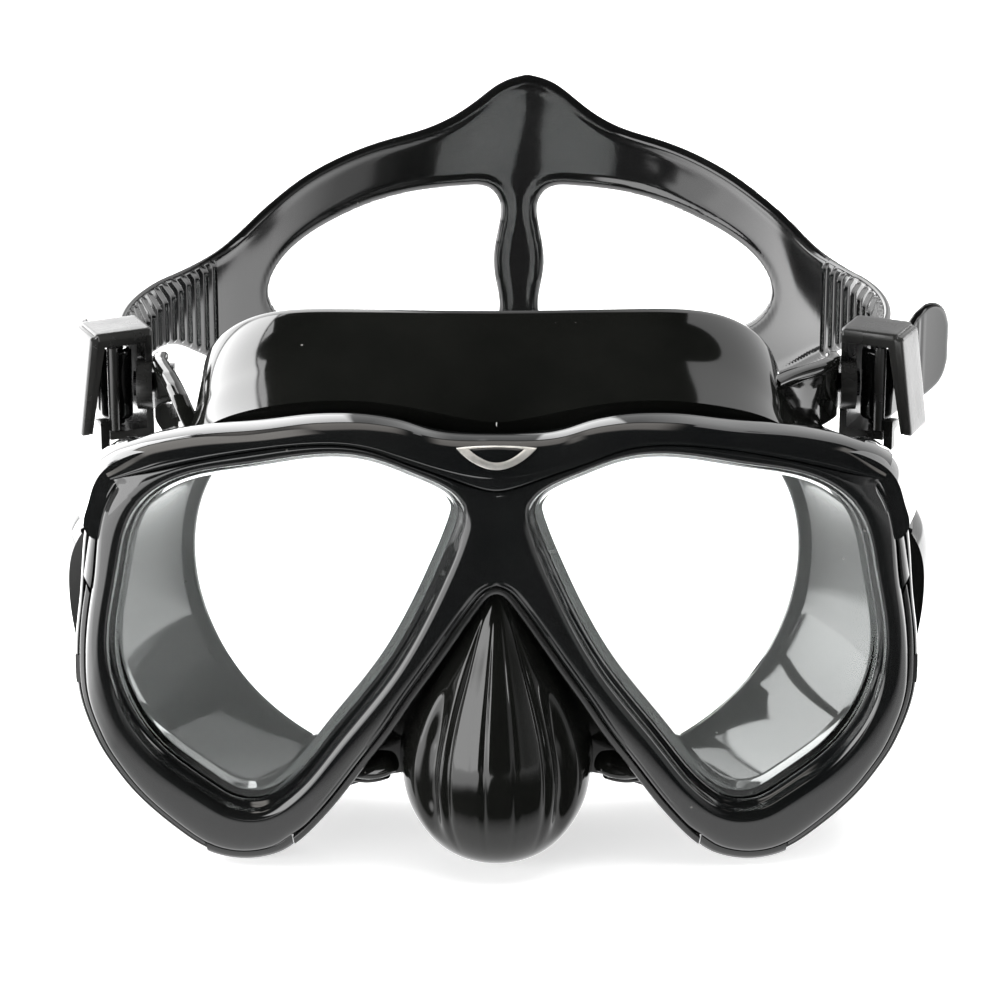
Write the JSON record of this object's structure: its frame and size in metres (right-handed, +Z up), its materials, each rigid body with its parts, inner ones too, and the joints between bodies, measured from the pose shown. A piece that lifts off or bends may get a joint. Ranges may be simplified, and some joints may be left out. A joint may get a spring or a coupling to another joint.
{
  "type": "diving mask",
  "caption": "Twin-lens diving mask: wrapped glossy frame, bevelled glass lenses, silicone skirt with nose pocket, swivel buckles and a split head strap.",
  "frame": {"origin": "on the plane of symmetry at the bridge of the nose, on the outer face of the lenses, at the middle height of the lenses", "axes": "+X to the left of the wearer (viewer's right from the front), +Y from the lenses back to the head strap, +Z up"},
  "size_m": [0.1838, 0.1665, 0.1204],
  "materials": {
    "gloss_frame": "glossy black polycarbonate",
    "frame_plastic": "black polycarbonate, smooth moulded",
    "badge": "black enamel in a bright oval rim, no mark",
    "tempered_glass": "clear tempered glass, polished bevel",
    "silicone": "glossy black silicone",
    "buckle_plastic": "satin black acetal",
    "steel": "stainless steel pin"
  },
  "bodies": {
    "mask": {"rear_frame": "frame_plastic", "front_bezel": "gloss_frame", "brow_trim": "gloss_frame", "brow_badge": "badge", "nose_trim": "gloss_frame", "side_trim_left": "gloss_frame", "side_trim_right": "gloss_frame", "lens_left": "tempered_glass", "lens_right": "tempered_glass", "skirt": "silicone", "swivel_pin_left": "steel", "swivel_pin_right": "steel"},
    "buckle_left": {"buckle_body_left": "buckle_plastic", "roller_pin_left": "steel", "lever_pin_left": "steel"},
    "buckle_right": {"buckle_body_right": "buckle_plastic", "roller_pin_right": "steel", "lever_pin_right": "steel"},
    "roller_left": {"strap_roller_left": "buckle_plastic"},
    "roller_right": {"strap_roller_right": "buckle_plastic"},
    "lever_left": {"release_lever_left": "buckle_plastic"},
    "lever_right": {"release_lever_right": "buckle_plastic"},
    "strap": {"strap": "silicone"}
  },
  "joints": [
    {"name": "buckle_left_swivel", "type": "hinge", "parent": "mask", "child": "buckle_left", "pos_m": [-0.07, 0.055, 0.0315], "axis": [1, 0, 0], "range_deg": [-30, 30]},
    {"name": "buckle_right_swivel", "type": "hinge", "parent": "mask", "child": "buckle_right", "pos_m": [0.07, 0.055, 0.0315], "axis": [1, 0, 0], "range_deg": [-30, 30]},
    {"name": "strap_adjust", "type": "slide", "parent": "buckle_left", "child": "strap", "axis": [0, 1, 0], "range_m": [-0.01, 0.015], "deforming": ["strap"]},
    {"name": "roller_left_spin", "type": "hinge", "parent": "buckle_left", "child": "roller_left", "pos_m": [-0.077, 0.0555, 0.0315], "axis": [0, 0, 1], "range_deg": [-300, 300]},
    {"name": "roller_right_spin", "type": "hinge", "parent": "buckle_right", "child": "roller_right", "pos_m": [0.077, 0.0555, 0.0315], "axis": [0, 0, 1], "range_deg": [-300, 300]},
    {"name": "lever_left_release", "type": "hinge", "parent": "buckle_left", "child": "lever_left", "pos_m": [-0.07709, 0.05103, 0.0315], "axis": [0, 0, 1], "range_deg": [-12, 0]},
    {"name": "lever_right_release", "type": "hinge", "parent": "buckle_right", "child": "lever_right", "pos_m": [0.07709, 0.05103, 0.0315], "axis": [0, 0, 1], "range_deg": [0, 12]}
  ],
  "couplings": [
    {"joint": "buckle_right_swivel", "follows": "buckle_left_swivel", "ratio": 1},
    {"joint": "roller_right_spin", "follows": "strap_adjust", "rad_per_m": 312.5},
    {"joint": "roller_left_spin", "follows": "strap_adjust", "rad_per_m": -312.5}
  ]
}
